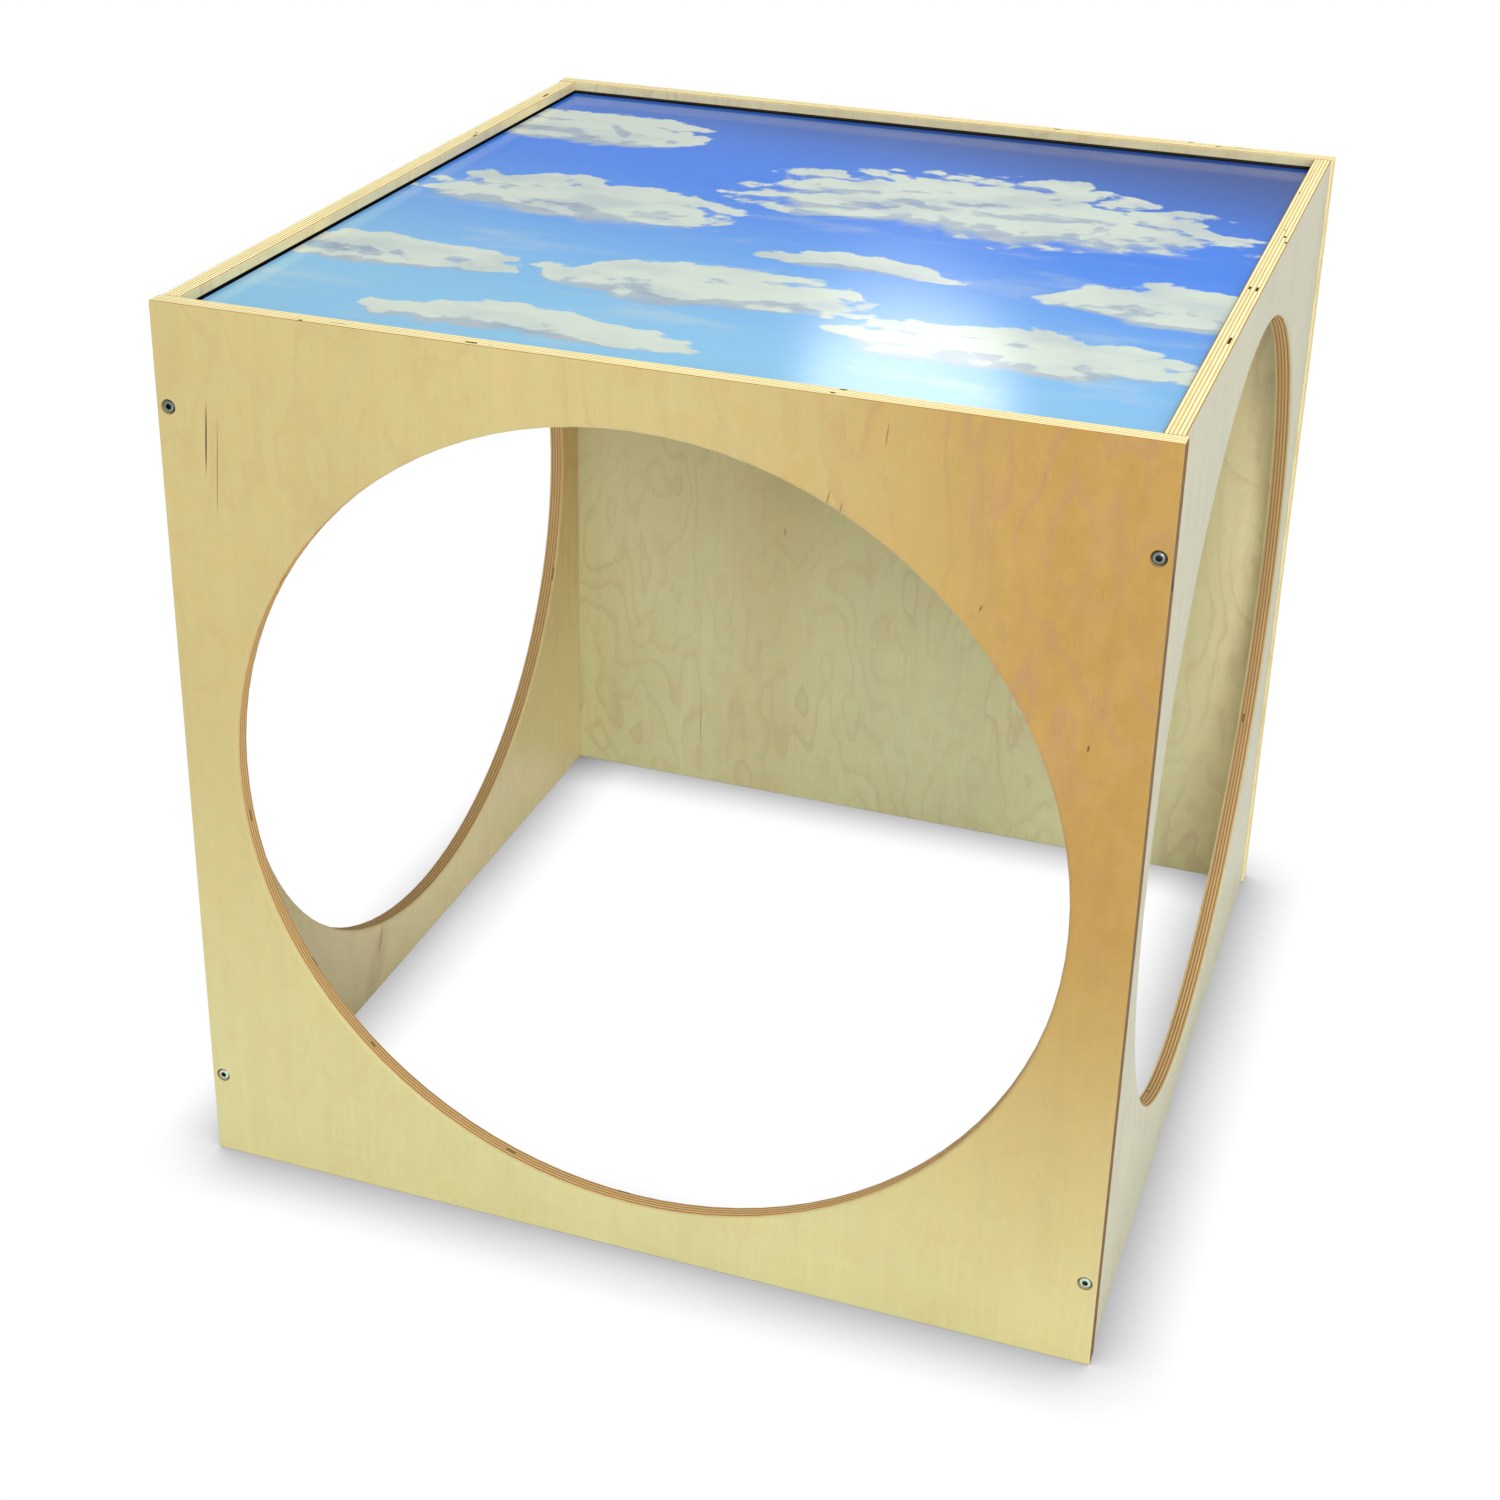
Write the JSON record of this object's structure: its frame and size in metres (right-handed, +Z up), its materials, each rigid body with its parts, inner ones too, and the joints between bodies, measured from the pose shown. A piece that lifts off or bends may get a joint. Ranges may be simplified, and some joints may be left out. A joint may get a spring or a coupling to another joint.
{
  "type": "privacy play cube",
  "caption": "Open-bottomed birch plywood play cube with round crawl holes in the front and sides, a solid back and a printed sky sheet for a roof.",
  "frame": {"origin": "middle of the base, on the floor", "axes": "+Z up, +Y from the front crawl hole towards the solid back, +X to the right seen from the front"},
  "size_m": [0.745, 0.762, 0.745],
  "materials": {
    "birch_plywood": "clear satin lacquer over birch veneer, with the plies showing at the edges",
    "sky_print": "glossy print of a blue sky with soft clouds",
    "zinc_plated_steel": "bright zinc plating",
    "brass": "plain turned brass"
  },
  "bodies": {
    "root": {"front_panel": "birch_plywood", "back_panel": "birch_plywood", "left_panel": "birch_plywood", "right_panel": "birch_plywood", "sky_sheet": "sky_print", "screw_front_left_low": "zinc_plated_steel", "screw_front_left_high": "zinc_plated_steel", "screw_front_right_low": "zinc_plated_steel", "screw_front_right_high": "zinc_plated_steel", "screw_back_left_low": "zinc_plated_steel", "screw_back_left_high": "zinc_plated_steel", "screw_back_right_low": "zinc_plated_steel", "screw_back_right_high": "zinc_plated_steel", "insert_front_left_low": "brass", "insert_front_left_high": "brass", "insert_front_right_low": "brass", "insert_front_right_high": "brass", "insert_back_left_low": "brass", "insert_back_left_high": "brass", "insert_back_right_low": "brass", "insert_back_right_high": "brass"}
  },
  "joints": []
}
